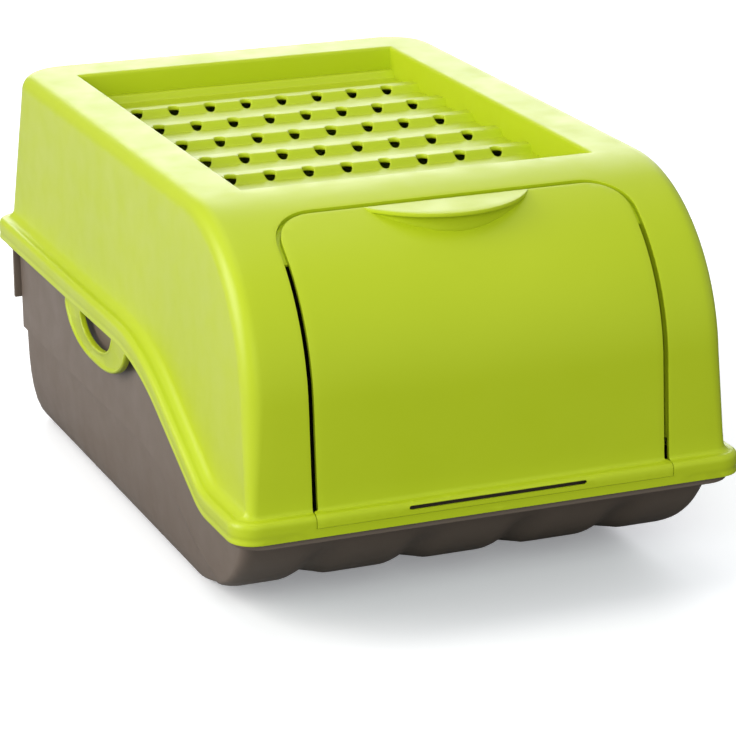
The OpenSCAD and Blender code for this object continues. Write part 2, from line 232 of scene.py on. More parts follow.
def join(name, *parts):
    """Joins finished pieces into one mesh object."""
    bm = bmesh.new()
    for part in parts:
        bm.from_mesh(part.data)
    mesh = bpy.data.meshes.new(name)
    bm.to_mesh(mesh)
    bm.free()
    for part in parts:
        bpy.data.objects.remove(part)
    smooth(mesh)
    print(name, "joined,", len(mesh.polygons), "faces")
    return put(name, mesh)


def block(name, low, high, edge=0.4):
    """A small web or rib with softened edges."""
    corners = [(x, y, z) for z in (low[2], high[2]) for y in (low[1], high[1]) for x in (low[0], high[0])]
    sides = [(0, 2, 3, 1), (4, 5, 7, 6), (0, 1, 5, 4), (2, 6, 7, 3), (0, 4, 6, 2), (1, 3, 7, 5)]
    middle = [(low[k] + high[k]) / 2 for k in range(3)]
    return moulding(name, corners, sides, edge=edge, mirror=False, steps=2, centre=middle)


def rod(name, start, end, radius, sides=24):
    """A solid pin between two points, with a small chamfer at both ends."""
    a, b = Vector(start), Vector(end)
    along = (b - a).normalized()
    across = along.orthogonal().normalized()
    up = along.cross(across)
    size = (b - a).length
    rows = []
    for far, r in ((0, 0), (0, radius - 0.3), (0.3, radius), (size - 0.3, radius),
                   (size, radius - 0.3), (size, 0)):
        rows.append([a + along * far + (across * math.cos(t) + up * math.sin(t)) * r
                     for t in spaced(0, 2 * math.pi, sides)])
    points, faces = [], []
    strip(points, faces, rows)
    return moulding(name, points, faces, mirror=False, centre=(a + b) / 2)


# %% [markdown]
# ## The hood's front
# The whole front and top of the hood are ruled: straight across the bin and curved only from
# front to back. So a place on them is two numbers, x and the distance s along the side view's
# outline, which runs up the skirt's face, over the rounded nose, through a small hollow, up
# the leaning wall, round the big brow and back along the flat top. Hood and flap share it.

# %% The outline from the skirt up to the top
TOP = 208.0
WALL = 2.4
HALF_W = 135.0
HALF_L = 203.0
SHELF = 11.0
NOSE_R = 3.2
BROW_R = 90.0
BROW_Y = -104.0
BROW_Z = TOP - BROW_R
FRONT_FOOT = -197.5
HOLLOW_R = HALF_L + FRONT_FOOT - NOSE_R
shelf_z = RIM_FRONT + SHELF
foot_z = shelf_z + HOLLOW_R
to_foot = Vector((FRONT_FOOT - BROW_Y, foot_z - BROW_Z))
TOUCH = math.atan2(to_foot[1], to_foot[0]) + 2 * math.pi - math.acos(BROW_R / to_foot.length)
lengths = [SHELF - NOSE_R, NOSE_R * math.pi / 2, HOLLOW_R * math.pi / 2,
           math.sqrt(to_foot.length_squared - BROW_R**2), BROW_R * (TOUCH - math.pi / 2)]
marks = [0.0]
for length in lengths:
    marks.append(marks[-1] + length)


FLAP_AXIS = (-HALF_L + NOSE_R, shelf_z - NOSE_R)
DIP_LOW = -10.2
DIP_HEIGHT = 3.6
DIP_DEPTH = 0.35


def face_dip(dz):
    """How far the skirt's face lies behind its nose and behind the bead at its lower edge."""
    t = (dz - DIP_LOW) / DIP_HEIGHT
    return 0.0 if t <= 0 or t >= 1 else DIP_DEPTH * math.sin(math.pi * t) ** 2


def on_arc(middle, r, a, way=1.0):
    """(y, z) at an angle on an arc and the normal there, which points inward in a hollow."""
    c, n = math.cos(a), math.sin(a)
    return (middle[0] + r * c, middle[1] + r * n), (way * c, way * n)


def front_at(s):
    """(y, z) and the outward normal at a distance along the outline."""
    if s <= marks[1]:
        return (-HALF_L + face_dip(s - SHELF), RIM_FRONT + s), (-1.0, 0.0)
    if s <= marks[2]:
        return on_arc(FLAP_AXIS, NOSE_R, math.pi - (s - marks[1]) / NOSE_R)
    if s <= marks[3]:
        hollow_a = -math.pi / 2 + (s - marks[2]) / HOLLOW_R
        return on_arc((FRONT_FOOT - HOLLOW_R, foot_z), HOLLOW_R, hollow_a, -1.0)
    out = (math.cos(TOUCH), math.sin(TOUCH))
    if s <= marks[4]:
        t = (s - marks[3]) / lengths[3]
        end = (BROW_Y + BROW_R * out[0], BROW_Z + BROW_R * out[1])
        return (FRONT_FOOT + (end[0] - FRONT_FOOT) * t, foot_z + (end[1] - foot_z) * t), out
    if s <= marks[5]:
        return on_arc((BROW_Y, BROW_Z), BROW_R, TOUCH - (s - marks[4]) / BROW_R)
    return (BROW_Y + s - marks[5], TOP), (0.0, 1.0)


def brow_s(y):
    """Distance along the outline at a place on the brow or the top."""
    if y > BROW_Y:
        return marks[5] + y - BROW_Y
    return marks[4] + BROW_R * (TOUCH - math.acos((y - BROW_Y) / BROW_R))


def on_front(x, s, depth=0.0):
    """A point of the hood's front, or depth under it."""
    (y, z), (ny, nz) = front_at(s)
    return (x, y - ny * depth, z - nz * depth)


face_rows = [0, 0.8, 1.6, 2.6, 3.6, 4.5, 5.5, 6.6, marks[1]]
nose_rows = spaced(marks[1], marks[2], 6)[1:]
hollow_rows = spaced(marks[2], marks[3], 4)[1:]
lean_rows = spaced(marks[3], marks[4], 6)[1:]
brow_rows = spaced(marks[4], marks[5], 30)[1:]
TOP_BACK = 185.0
top_rows = [marks[5] + d for d in spaced(0, TOP_BACK - BROW_Y, 36)[1:]]
all_rows = face_rows + nose_rows + hollow_rows + lean_rows + brow_rows + top_rows
print("outline from the skirt to the back of the top:", round(all_rows[-1], 1), "mm")

# %% [markdown]
# ## Openings in the front and top
# The doorway has two rounded top corners and its sill lies in the middle of the skirt's face,
# just under the flap's nose. The recess in the top is a plain rectangle. Both are drawn as
# outlines in (x, s) that can grow, so that a band of even quads surrounds each hole and its
# edge can be rounded cleanly.

# %% Outlines of the doorway and the recess
def arch(half, top_s, sill_s, corner, grow=0.0, sill=True):
    """Right half of an arched outline, from the top's middle round to the sill's middle."""
    rows = [s for s in reversed(all_rows) if sill_s + 1.5 < s < top_s - corner - 0.6]
    half, top_s, corner = half + grow, top_s + grow, corner + grow
    line = [(x, top_s) for x in spaced(0, half - corner, 12)]
    line += [(half - corner + corner * math.sin(a), top_s - corner + corner * math.cos(a))
             for a in spaced(0, math.pi / 2, 12)[1:]]
    line += [(half, s) for s in rows]
    if sill:
        line += [(x, sill_s - grow) for x in spaced(half, 0, 14)]
    else:
        line.append((half, sill_s))
    return line


DOOR = dict(half=94.6, top_s=brow_s(-134.2), sill_s=4.5, corner=24.0)
RECESS_HALF = 94.0
RECESS_FRONT = -104.5
RECESS_BACK = 160.0


def recess_line(grow=0.0):
    """Right half of the recess's edge, from the back's middle round to the front's middle."""
    half, back, front = RECESS_HALF + grow, RECESS_BACK + grow, RECESS_FRONT - grow
    line = [(x, brow_s(back)) for x in spaced(0, half, 14)]
    line += [(half, brow_s(y)) for y in spaced(back, front, 34)[1:-1]]
    line += [(x, brow_s(front)) for x in spaced(half, 0, 14)]
    return line


print("doorway from s", DOOR["sill_s"], "to", round(DOOR["top_s"], 1))

# %% [markdown]
# ## The hood's sides, skirt and back
# Round the sides and the back the skin is a run of ribs. Each one starts on the front or the
# top, bends over the shoulder, goes down the wall, through the hollow and over the nose to
# the skirt's lower edge. The walls lean in a little, as a moulding does to leave its mould,
# and the rear corners open out towards the top.

# %% Ribs of the hood
FOOT_HALF = 127.0
WALL_LEAN = 2.5
WALL_HEIGHT = 137.0
SHOULDER = 9.0
BACK_TOP = 194.0
CORNER_TOP = 28.0
CORNER_FOOT = 6.0
FLARE_START = 100.0
CORNER_REACH = 25.0
turn = [math.radians(a) for a in range(0, 91, 9)]


def wall_x(z):
    """Half width of the hood's side wall, which leans in on its way up."""
    return FOOT_HALF - WALL_LEAN * (z - RIM_FRONT) / WALL_HEIGHT


FRONT_CORNER_X = 121.8
front_corner_r = wall_x(foot_z) - FRONT_CORNER_X
skirt_front_r = HALF_W - FRONT_CORNER_X
SKIRT_BACK_R = 15.0
back_foot_x = wall_x(RIM_BACK + SHELF)
BACK_FOOT = 195.7


def station(foot, edge, out):
    """A place round the hood's foot: wall point, skirt point, way out and hollow's radius."""
    foot, edge, out = Vector(foot), Vector(edge), Vector(out)
    reach = (edge - foot).length
    return dict(foot=foot, edge=edge, out=out, way=(edge - foot) / reach,
                hollow=min(5.0, reach - NOSE_R))


def skirt_rib(st):
    """Points from the skirt's lower edge up to the foot of the wall."""
    rib = []
    for s in face_rows:
        p = st["edge"] - st["out"] * face_dip(s - SHELF)
        rib.append((p[0], p[1], rim_z(p[1]) + s))
    for s in nose_rows:
        a = (s - marks[1]) / NOSE_R
        p = st["edge"] - st["out"] * NOSE_R * (1 - math.cos(a))
        rib.append((p[0], p[1], rim_z(p[1]) + SHELF - NOSE_R * (1 - math.sin(a))))
    r = st["hollow"]
    for a in spaced(0, math.pi / 2, 4):
        p = st["foot"] + st["way"] * r * (1 - math.sin(a))
        rib.append((p[0], p[1], rim_z(p[1]) + SHELF + r * (1 - math.cos(a))))
    return rib


def shoulder(s, r):
    """Bend of a rib that starts on the ruled front or top and turns down into the side wall."""
    (y, z), (ny, nz) = front_at(s)
    cy, cz = y - r * ny, z - r * nz
    cx = wall_x(cz) - r
    return [(cx + r * math.sin(a), cy + r * ny * math.cos(a), cz + r * nz * math.cos(a))
            for a in turn]


columns = []
for a in [math.radians(d) for d in range(-90, 1, 9)]:
    out = (math.cos(a), math.sin(a))
    columns.append(dict(bend=None, at=station(
        (FRONT_CORNER_X + front_corner_r * out[0], FRONT_FOOT + front_corner_r * (1 + out[1])),
        (FRONT_CORNER_X + skirt_front_r * out[0], -HALF_L + skirt_front_r * (1 + out[1])), out)))
corner_count = len(columns)

side_rows = [s for s in lean_rows + brow_rows if front_at(s)[0][1] > foot_z + 3.5]
side_rows += [brow_s(y) for y in spaced(BROW_Y, 0, 20)[1:] + spaced(0, BACK_TOP - CORNER_TOP, 18)[1:]]
foot_edge_shift = (-HALF_L + skirt_front_r) - (FRONT_FOOT + front_corner_r)
back_edge_shift = (HALF_L - SKIRT_BACK_R) - (BACK_FOOT - CORNER_FOOT)
back_top_x = wall_x(TOP - SHOULDER) - CORNER_TOP
for s in side_rows:
    r = SHOULDER if s >= marks[4] else (
        front_corner_r + (SHOULDER - front_corner_r) * (s - marks[3]) / lengths[3])
    bend = shoulder(s, r)
    y = bend[-1][1]
    straight = BACK_TOP - CORNER_TOP
    if y > FLARE_START:
        flare = (BACK_FOOT - CORNER_FOOT - FLARE_START) / (straight - FLARE_START)
        y = FLARE_START + (y - FLARE_START) * flare
    shift = foot_edge_shift * max(0, 1 - (y - FRONT_FOOT - front_corner_r) / CORNER_REACH)
    shift += back_edge_shift * max(0, 1 - (BACK_FOOT - CORNER_FOOT - y) / CORNER_REACH)
    columns.append(dict(bend=bend, at=station(
        (wall_x(rim_z(y) + SHELF + 5), y), (HALF_W, y + shift), (1, 0))))

for a in [math.radians(d) for d in range(9, 91, 9)]:
    out = Vector((math.cos(a), math.sin(a)))
    top = Vector((back_top_x, BACK_TOP - CORNER_TOP)) + out * (CORNER_TOP - SHOULDER)
    bend = [(top[0] + SHOULDER * math.sin(t) * out[0], top[1] + SHOULDER * math.sin(t) * out[1],
             TOP - SHOULDER * (1 - math.cos(t))) for t in turn]
    columns.append(dict(bend=bend, at=station(
        Vector((back_foot_x - CORNER_FOOT, BACK_FOOT - CORNER_FOOT)) + out * CORNER_FOOT,
        Vector((HALF_W - SKIRT_BACK_R, HALF_L - SKIRT_BACK_R)) + out * SKIRT_BACK_R, out)))
for f in spaced(1, 0, 12)[1:]:
    bend = [(back_top_x * f, TOP_BACK + SHOULDER * math.sin(t), TOP - SHOULDER * (1 - math.cos(t)))
            for t in turn]
    columns.append(dict(bend=bend, at=station(
        ((back_foot_x - CORNER_FOOT) * f, BACK_FOOT), ((HALF_W - SKIRT_BACK_R) * f, HALF_L), (0, 1))))

skirt_ribs = [skirt_rib(c["at"]) for c in columns]
corner_feet = [rib[-1] for rib in skirt_ribs[:corner_count]]
wall_ribs = [corner_feet + [corner_feet[-1]] * 10]
for c, low in zip(columns[corner_count:], skirt_ribs[corner_count:]):
    top, foot = Vector(c["bend"][-1]), Vector(low[-1])
    wall_ribs.append(c["bend"] + [tuple(top.lerp(foot, f)) for f in spaced(0, 1, 10)[1:]])

lid_points, lid_faces = [], []
strip(lid_points, lid_faces, skirt_ribs)
strip(lid_points, lid_faces, wall_ribs)
print(len(columns), "ribs round half the hood")

# %% [markdown]
# The ruled front and top fill the space between the ribs. Their outline runs along the
# skirt's lower edge, up past the starts of the ribs, across the back, and down the middle
# round the recess and the doorway.

# %% Front and top skin, with both openings
BAND = 2.2
edge_line = [(x, 0.0) for x in spaced(0, FRONT_CORNER_X, 16)]
edge_line += [(FRONT_CORNER_X, s) for s in face_rows[1:] + nose_rows + hollow_rows]
rib_starts = [c["bend"][0] for c in columns[corner_count:]]
edge_line += [(p[0], s) for p, s in zip(rib_starts, side_rows)]
edge_line += [(p[0], brow_s(p[1])) for p in rib_starts[len(side_rows):]]
edge_line += recess_line(BAND)
low, high = DOOR["top_s"] + BAND, brow_s(RECESS_FRONT - BAND)
edge_line += [(0.0, s) for s in reversed(all_rows) if low + 0.5 < s < high - 0.5]
edge_line += arch(grow=BAND, **DOOR)
edge_line += [(0.0, s) for s in (1.6, 0.8)]
spots = [(x, s) for s in all_rows for x in spaced(0, 119, 17)[1:]]
spots += [(0.0, s) for s in all_rows]
fill(lid_points, lid_faces, edge_line, spots, on_front)
strip(lid_points, lid_faces, [[on_front(*p) for p in arch(grow=g, **DOOR)] for g in (BAND, 0.0)])
VALLEY = TOP - 17.0
tray_low = VALLEY - WALL
recess_rows = []
for grow, drop in ((BAND, 0.0), (1.4, 0.08), (0.85, 0.32), (0.4, 0.75), (0.1, 1.35), (0.0, 2.0)):
    recess_rows.append([(p[0], p[1], p[2] - drop) for p in (on_front(*q) for q in recess_line(grow))])
recess_rows.append([(p[0], p[1], tray_low) for p in recess_rows[-1]])
strip(lid_points, lid_faces, recess_rows)
NOSE_ROOM = 4.6


def seat(p):
    """Hollows the top of the skirt's wall under the flap's nose, to let the nose turn."""
    y, z = p[1] - FLAP_AXIS[0], p[2] - FLAP_AXIS[1]
    under_nose = abs(p[0]) < DOOR["half"] + 0.1 and -3.4 < y < 0 and -6 < z < -2
    if under_nose and math.hypot(y, z) < NOSE_ROOM:
        return (p[0], p[1], FLAP_AXIS[1] - math.sqrt(NOSE_ROOM**2 - y * y))
    return p


EDGE_R = 1.5
PLAIN_SHARE = 0.47
door_rim = [Vector(on_front(side * x, s)) for side in (1, -1) for x, s in arch(**DOOR)]


def door_edge(p):
    """Share of the rounding at a point: full round the doorway, none at its sill, half elsewhere."""
    at_sill = abs(p[0]) < DOOR["half"] + 0.1 and 64 < p[2] < 67 and p[1] < -200
    if at_sill:
        return 0.0
    return 1.0 if min((q - p).length_squared for q in door_rim) < 0.02 else PLAIN_SHARE


hood = moulding("hood_wall", lid_points, lid_faces, WALL, EDGE_R, tweak=seat, soften=door_edge)

# %% [markdown]
# The hood's wall turns inward all round the doorway. Over the top and the corners a step
# stands out from that return, just under the closed flap, and keeps it from being pushed in.
# Both sections are carried along the doorway's arch. A section's points are written as the
# way out from the doorway's edge and the depth under the skin.

# %% Ledge behind the doorway, bearings and webs
def sweep(points, faces, rows):
    """Carries a closed section along a path and caps the far end."""
    first = len(points)
    strip(points, faces, rows + [rows[0]])
    last = len(rows[0]) - 1
    ring = [first + r * len(rows[0]) + last for r in range(len(rows))]
    faces.append(tuple(reversed(ring)))


LEDGE = [(-6.5, 3.0), (1.5, 3.0), (1.5, 5.2), (-6.5, 5.2)]
RETURN = [(0.0, 2.0), (3.0, 2.0), (3.0, 6.6), (0.0, 6.6)]
trims = []
for name, section, foot in (("door_ledge", LEDGE, 186.0), ("door_return", RETURN, 80.0)):
    low = next(s for s in all_rows if front_at(s)[0][1] > foot)
    trim_points, trim_faces = [], []
    sweep(trim_points, trim_faces, [
        [on_front(x, s, depth) for x, s in arch(DOOR["half"], DOOR["top_s"], low, DOOR["corner"],
                                                out, False)]
        for out, depth in section])
    trims.append(moulding(name, trim_points, trim_faces, edge=0.4))
ledge = join("door_ledge", *trims)


def bearing(name, low, high, axis, hole, radius):
    """A web with a round hole through it along X or Y for a hinge pin."""
    other = 1 - axis
    angles = [2 * math.pi * i / 32 for i in range(32)]
    for u in (low[other], high[other]):
        for v in (low[2], high[2]):
            near = math.atan2(v - hole[1], u - hole[0]) % (2 * math.pi)
            angles[round(near / (2 * math.pi) * 32) % 32] = near
    outer, inner = [], []
    for a in angles + angles[:1]:
        c, n = math.cos(a), math.sin(a)
        reach = min([((high if c > 0 else low)[other] - hole[0]) / c if abs(c) > 1e-6 else 1e9,
                     ((high if n > 0 else low)[2] - hole[1]) / n if abs(n) > 1e-6 else 1e9])
        outer.append((hole[0] + reach * c, hole[1] + reach * n))
        inner.append((hole[0] + radius * c, hole[1] + radius * n))

    def place(flat, at):
        spot = [0, 0, flat[1]]
        spot[axis] = at
        spot[other] = flat[0]
        return tuple(spot)

    points, faces = [], []
    loops = [(outer, low), (inner, low), (inner, high), (outer, high), (outer, low)]
    strip(points, faces, [[place(f, end[axis]) for f in line] for line, end in loops])
    return moulding(name, points, faces, edge=0.3, steps=2)


CLIP_AXIS = (129.6, 113.0)
CLIP_ENDS = (-29.6, 79.6)
cheek = bearing("cheek", (94.9, -201.8, 61.4), (97.9, -192.5, 72.0), 0, FLAP_AXIS, 1.76)
lugs = [bearing("lug", (126.8, y, 109.9), (133.8, y + 4, 119.5), 1, CLIP_AXIS, 1.66)
        for y in (CLIP_ENDS[0] - 4, CLIP_ENDS[1])]

# %% [markdown]
# ## The vented recess
# The floor of the recess is a run of low ridges, steep in front and gentle behind. Every
# ridge has a row of eight round vents in its steep face, so warm damp air can leave the
# potatoes while light stays out. One tile of floor with one vent is drawn, and Geometry Nodes
# sets it out in rows and columns inside the plain border. Tiles share their edges, so a merge
# by distance turns them into one closed slab.

# %% One vent tile and the border round the field of tiles
VENT_ROWS = 6
VENT_COLUMNS = 8
VENT_PITCH = 21.2
VENT_R = 3.1
RIDGE_H = 4.0
RIDGE_PITCH = (RECESS_BACK - RECESS_FRONT) / (VENT_ROWS + 1)
VENT_SHIFT = 3.5


def ease(t):
    """A smooth step from 0 to 1."""
    t = max(0.0, min(1.0, t))
    return t * t * (3 - 2 * t)


def ridge_z(y):
    """Height of the recess's floor, ridges counted from the recess's front edge."""
    u = (y - RECESS_FRONT) % RIDGE_PITCH
    if u > RIDGE_PITCH / 2:
        u -= RIDGE_PITCH
    rise = ease((u + 7.5) / 4.5) if u < 0 else ease((12.0 - u) / 9.0)
    return VALLEY + RIDGE_H * rise


half_pitch = 18.893
flank = [-half_pitch, -15, -11, -8.5] + spaced(-7.5, -3, 9) + [-1.5, 0, 1.5]
flank += spaced(3, 12, 12) + [13, 15.5, half_pitch]
tile_us = [RIDGE_PITCH * u / (2 * half_pitch) for u in flank]
tile_xs = spaced(-VENT_PITCH / 2, VENT_PITCH / 2, 12)
floor_edge = RECESS_HALF + 1.0


def ridged_sheet(points, faces, xs, ys, depth):
    """A plain sheet of the recess's ridged floor."""
    rows = [[(x, y, ridge_z(y) - depth) for x in xs] for y in ys]
    strip(points, faces, rows if depth == 0 else [list(reversed(row)) for row in rows])


def tile():
    """One pitch of floor with one vent, drawn about the middle of the first crest."""
    points, faces = [], []
    crest = RECESS_FRONT + RIDGE_PITCH
    rim = [(x, tile_us[0]) for x in tile_xs] + [(tile_xs[-1], u) for u in tile_us[1:]]
    rim += [(x, tile_us[-1]) for x in reversed(tile_xs[:-1])]
    rim += [(tile_xs[0], u) for u in reversed(tile_us[1:-1])]
    turns = spaced(0, 2 * math.pi, 48)[:-1]

    def circle(r):
        return [(r * math.cos(a), -VENT_SHIFT + r * math.sin(a)) for a in turns]

    grid = [(x, u) for x in tile_xs for u in tile_us]
    for depth, grow in ((0.0, 0.8), (WALL, 0.5)):
        ring = circle(VENT_R + grow)
        flat = [Vector(p) for p in rim + ring]
        flat += [Vector(p) for p in grid if abs(p[0]) < tile_xs[-1] - 0.5
                 and tile_us[0] + 0.3 < p[1] < tile_us[-1] - 0.3
                 and math.hypot(p[0], p[1] + VENT_SHIFT) > VENT_R + grow + 0.7]
        n, m = len(rim), len(ring)
        edges = [(i, (i + 1) % n) for i in range(n)] + [(n + i, n + (i + 1) % m) for i in range(m)]
        made, _, tris, *_ = delaunay_2d_cdt(flat, edges, [], 0, 1e-6)
        first = len(points)
        points.extend((p[0], crest + p[1], ridge_z(crest + p[1]) - depth) for p in made)
        for t in tris:
            middle = sum((made[i] for i in t), Vector((0, 0))) / 3
            if math.hypot(middle[0], middle[1] + VENT_SHIFT) > (VENT_R + grow) * 0.998:
                faces.append(tuple(first + i for i in (t if depth == 0 else reversed(t))))
    walls = [[(x, crest + u, ridge_z(crest + u) - drop) for x, u in circle(VENT_R + r)]
             for r, drop in ((0.8, 0.0), (0.45, 0.06), (0.18, 0.25), (0.0, 0.6),
                             (0.0, WALL - 0.45), (0.15, WALL - 0.15), (0.5, WALL))]
    strip(points, faces, [row + row[:1] for row in walls])
    return moulding("vent_tile", points, faces, mirror=False, centre=(0, crest, 0), sharp=40)


def border():
    """The floor round the field of tiles, with its outer edges closed."""
    points, faces = [], []
    field = VENT_COLUMNS * VENT_PITCH / 2
    crests = [RECESS_FRONT + RIDGE_PITCH * k for k in range(VENT_ROWS + 2)]
    side_ys = [crests[0] - 0.8] + [crests[0] + u for u in tile_us if u >= 0]
    for crest in crests[1:-1]:
        side_ys += [crest + u for u in tile_us[1:]]
    side_ys += [crests[-1] + u for u in tile_us[1:] if u <= 0] + [crests[-1] + 0.8]
    front = [y for y in side_ys if y < crests[1] - RIDGE_PITCH / 2 + 0.01]
    back = [y for y in side_ys if y > crests[-2] + RIDGE_PITCH / 2 - 0.01]
    side_xs = spaced(field, floor_edge, 4)
    field_xs = [x0 + x for x0 in [(c - 3.5) * VENT_PITCH for c in range(VENT_COLUMNS)]
                for x in tile_xs[:-1]] + [field]
    for depth in (0.0, WALL):
        for xs, ys in ((side_xs, side_ys), ([-x for x in reversed(side_xs)], side_ys),
                       (field_xs, front), (field_xs, back)):
            ridged_sheet(points, faces, xs, ys, depth)
    across = [-x for x in reversed(side_xs)] + field_xs[1:-1] + side_xs
    loop = [(x, side_ys[0]) for x in across] + [(floor_edge, y) for y in side_ys[1:]]
    loop += [(x, side_ys[-1]) for x in reversed(across[:-1])]
    loop += [(-floor_edge, y) for y in reversed(side_ys[:-1])]
    strip(points, faces, [[(x, y, ridge_z(y) - d) for x, y in loop] for d in (0.0, WALL)])
    return moulding("vent_floor", points, faces, mirror=False, centre=(0, 28, 0), sharp=40)


vent_tile = tile()
vent_floor = border()

# %% The tree that sets out the vents
def add(tree, kind, feeds=(), **options):
    """Adds a node, sets its options, then gives its inputs their values or links."""
    node = tree.nodes.new(kind)
    for option, value in options.items():
        setattr(node, option, value)
    for label, source in feeds:
        if isinstance(source, bpy.types.NodeSocket):
            tree.links.new(source, node.inputs[label])
        else:
            node.inputs[label].default_value = source
    return node


def vent_tree():
    """Geometry Nodes: sets the tile out in a grid and welds it to the border."""
    tree = bpy.data.node_groups.new("Set out the vents", "GeometryNodeTree")
    face = tree.interface
    face.new_socket("Geometry", in_out="INPUT", socket_type="NodeSocketGeometry")
    sizes = {}
    for label, kind in (("Tile", "Object"), ("Columns", "Int"), ("Rows", "Int"),
                        ("Column pitch", "Float"), ("Row pitch", "Float"), ("Finish", "Material")):
        sizes[label] = face.new_socket(label, in_out="INPUT", socket_type="NodeSocket" + kind)
    face.new_socket("Geometry", in_out="OUTPUT", socket_type="NodeSocketGeometry")
    given = tree.nodes.new("NodeGroupInput").outputs

    def sums(kind, a, b):
        return add(tree, "ShaderNodeMath", ((0, a), (1, b)), operation=kind).outputs[0]

    reach = []
    for axis, count, pitch in (("X", "Columns", "Column pitch"), ("Y", "Rows", "Row pitch")):
        gaps = sums("SUBTRACT", given[count], 1)
        length = sums("MULTIPLY", gaps, given[pitch])
        reach += [("Vertices " + axis, given[count]), ("Size " + axis, length)]
    grid = add(tree, "GeometryNodeMeshGrid", reach)
    half = sums("DIVIDE", sums("SUBTRACT", given["Rows"], 1), 2)
    middle = add(tree, "ShaderNodeCombineXYZ", [("Y", sums("MULTIPLY", half, given["Row pitch"]))])
    place = add(tree, "GeometryNodeSetPosition", (("Geometry", grid.outputs["Mesh"]),
                                                  ("Offset", middle.outputs[0])))
    shape = add(tree, "GeometryNodeObjectInfo", [("Object", given["Tile"])])
    spread = add(tree, "GeometryNodeInstanceOnPoints", (("Points", place.outputs[0]),
                                                        ("Instance", shape.outputs["Geometry"])))
    plain = add(tree, "GeometryNodeRealizeInstances", [(0, spread.outputs[0])])
    both = add(tree, "GeometryNodeJoinGeometry", ((0, given["Geometry"]), (0, plain.outputs[0])))
    weld = add(tree, "GeometryNodeMergeByDistance", (("Geometry", both.outputs[0]),
                                                     ("Distance", WELD)))
    finish = add(tree, "GeometryNodeSetMaterial", (("Geometry", weld.outputs[0]),
                                                   ("Material", given["Finish"])))
    add(tree, "NodeGroupOutput", [(0, finish.outputs[0])])
    return tree, sizes

# %% [markdown]
# ## The finish
# All five mouldings are satin polypropylene, lime for the hood's pieces and warm grey-brown
# for the tub. A polypropylene moulding isn't quite even: the colour drifts a little where the
# melt was thicker, flow leaves faint streaks and the mould's fine grain scatters the light.
# Each of these is a small procedural term, in object space, so nothing has to be unwrapped.

# %% Satin plastic
def plastic(name, colour, drift, roughness, gloss):
    """A satin moulded plastic with slow colour drift, fine grain and a soft sheen."""
    finish = bpy.data.materials.new(name)
    finish.use_nodes = True
    tree = finish.node_tree
    shader = tree.nodes["Principled BSDF"].inputs
    place = add(tree, "ShaderNodeTexCoord").outputs["Object"]

    def noise(scale, detail):
        feeds = (("Scale", scale), ("Detail", detail), ("Vector", place))
        return add(tree, "ShaderNodeTexNoise", feeds).outputs["Fac"]

    def remap(fac, low, high):
        feeds = (("From Min", 0.3), ("From Max", 0.7), ("To Min", low), ("To Max", high), ("Value", fac))
        return add(tree, "ShaderNodeMapRange", feeds).outputs["Result"]

    blend = add(tree, "ShaderNodeMix", (("Factor", remap(noise(9.0, 3.0), 0.0, 1.0)),
                                        ("A", (*colour, 1)), ("B", (*drift, 1))), data_type="RGBA")
    fine = add(tree, "ShaderNodeBump", (("Strength", 0.10), ("Distance", 0.00012),
                                        ("Height", noise(1500.0, 3.0))))
    wave = add(tree, "ShaderNodeBump", (("Strength", 0.03), ("Distance", 0.0006),
                                        ("Height", noise(24.0, 2.0)), ("Normal", fine.outputs["Normal"])))
    for source, label in ((blend.outputs["Result"], "Base Color"), (wave.outputs["Normal"], "Normal"),
                          (remap(noise(55.0, 4.0), roughness - 0.05, roughness + 0.06), "Roughness")):
        tree.links.new(source, shader[label])
    shader["IOR"].default_value = 1.49
    shader["Specular IOR Level"].default_value = gloss
    return finish


lime = plastic("lime_plastic", colour=(0.405, 0.50, 0.008), drift=(0.43, 0.52, 0.012),
               roughness=0.40, gloss=0.5)
taupe = plastic("taupe_plastic", colour=(0.140, 0.108, 0.088), drift=(0.152, 0.118, 0.096),
                roughness=0.42, gloss=0.25)
print("finishes:", lime.name, taupe.name)

# %% [markdown]
# With the finish made, the vents can be set out: the tree's own inputs carry the numbers of
# rows and columns, the pitches and the finish. The slab then becomes an ordinary mesh.

# %% Set out the vents and place the hood's pieces
tree, sizes = vent_tree()
spread = vent_floor.modifiers.new("Vents", "NODES")
spread.node_group = tree
for label, value in (("Tile", vent_tile), ("Columns", VENT_COLUMNS), ("Rows", VENT_ROWS),
                     ("Column pitch", VENT_PITCH * MM), ("Row pitch", RIDGE_PITCH * MM),
                     ("Finish", lime)):
    spread[sizes[label].identifier] = value
settle(vent_floor, 40)
bpy.data.objects.remove(vent_tile)


def finish_piece(piece, material, body, node):
    """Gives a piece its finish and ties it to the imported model."""
    piece.data.materials.clear()
    piece.data.materials.append(material)
    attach(piece, body)
    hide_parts(node)


for piece in (hood, vent_floor, ledge, cheek, *lugs):
    finish_piece(piece, lime, "lid", "lid")

# %% [markdown]
# ## The flap
# The flap is cut from the same ruled front as the hood, so its curve is the hood's. Its foot
# rolls over the hinge line as a nose and tucks under, wider than the panel above, with a
# thin slot under its middle. The wall is hollow behind the nose like the real one.

# %% Flap panel, with its rolled nose and slot
FLAP_HALF = 91.8
NOSE_HALF = 94.2
FLAP_TOP = -136.8
FLAP_CORNER = 20.0
NOSE_CREASE = 5.6
TUCK_R = 4.5
tuck_end = math.radians(258)
tuck_drop = math.sqrt(TUCK_R**2 - NOSE_R**2)
tuck_start = math.pi + math.atan2(tuck_drop, NOSE_R)
tuck_length = TUCK_R * (tuck_end - tuck_start)
nose_low = shelf_z - NOSE_R - tuck_drop - RIM_FRONT


